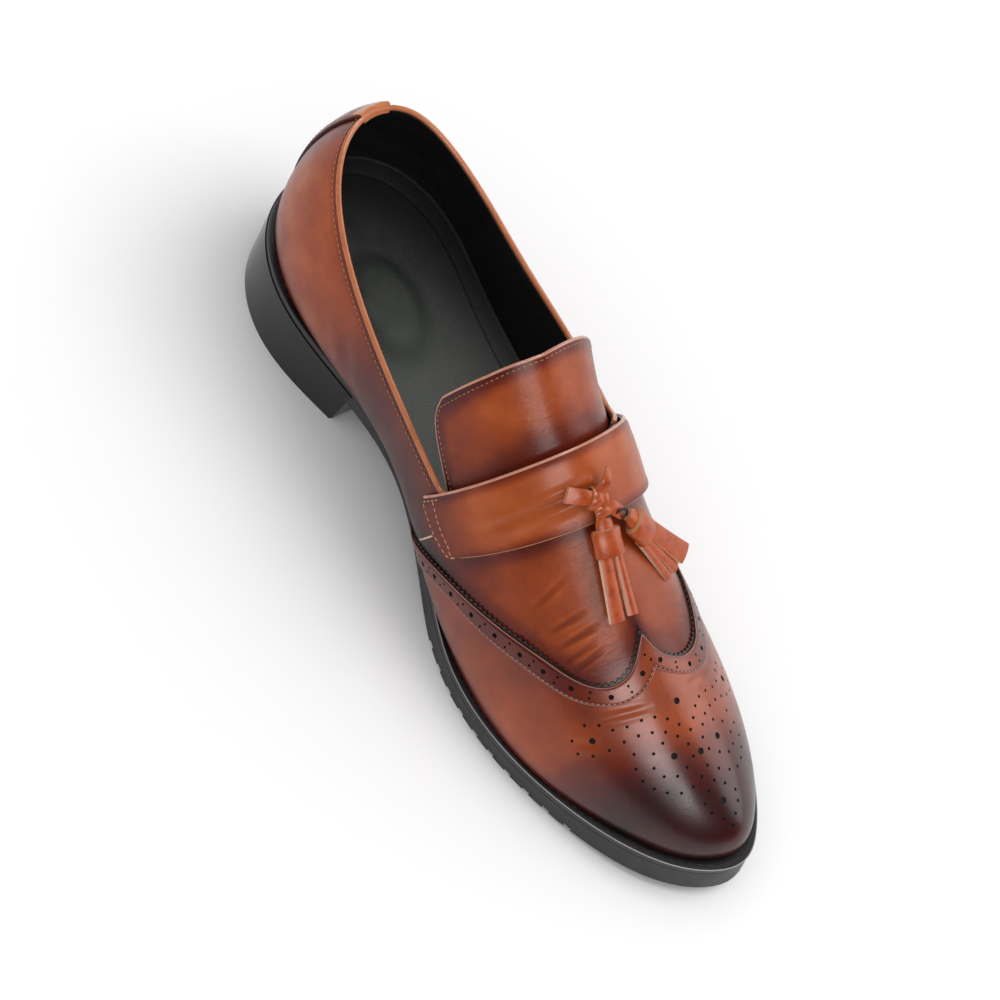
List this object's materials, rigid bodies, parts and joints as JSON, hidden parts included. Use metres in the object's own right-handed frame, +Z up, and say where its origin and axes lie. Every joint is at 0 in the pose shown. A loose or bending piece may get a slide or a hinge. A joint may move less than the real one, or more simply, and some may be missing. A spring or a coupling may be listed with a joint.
{
  "type": "tassel loafer",
  "caption": "Left slip-on dress shoe with a wing-tip toe, saddle strap, leather tassels, welted rubber sole and low block heel.",
  "frame": {"origin": "on the floor, under the middle of the shoe's bounding box", "axes": "+Z up, -Y towards the toe, +X towards the outer side of this left shoe"},
  "size_m": [0.0942, 0.3015, 0.1197],
  "materials": {
    "sole_rubber": "matt black rubber",
    "welt_rubber": "matt black, polished edge",
    "heel_block": "glossy black edge dressing",
    "lining": "matt black lining leather",
    "upper_leather": "polished cognac calf, burnished dark at the toe and seams",
    "lace_leather": "satin russet leather with raw edges"
  },
  "bodies": {
    "root": {"outsole": "sole_rubber", "welt": "welt_rubber", "heel": "heel_block", "insole": "lining", "upper": "upper_leather", "tongue": "upper_leather", "strap": "upper_leather", "backstay": "upper_leather", "bow": "lace_leather", "tassel_inner": "lace_leather", "tassel_outer": "lace_leather"}
  },
  "joints": []
}
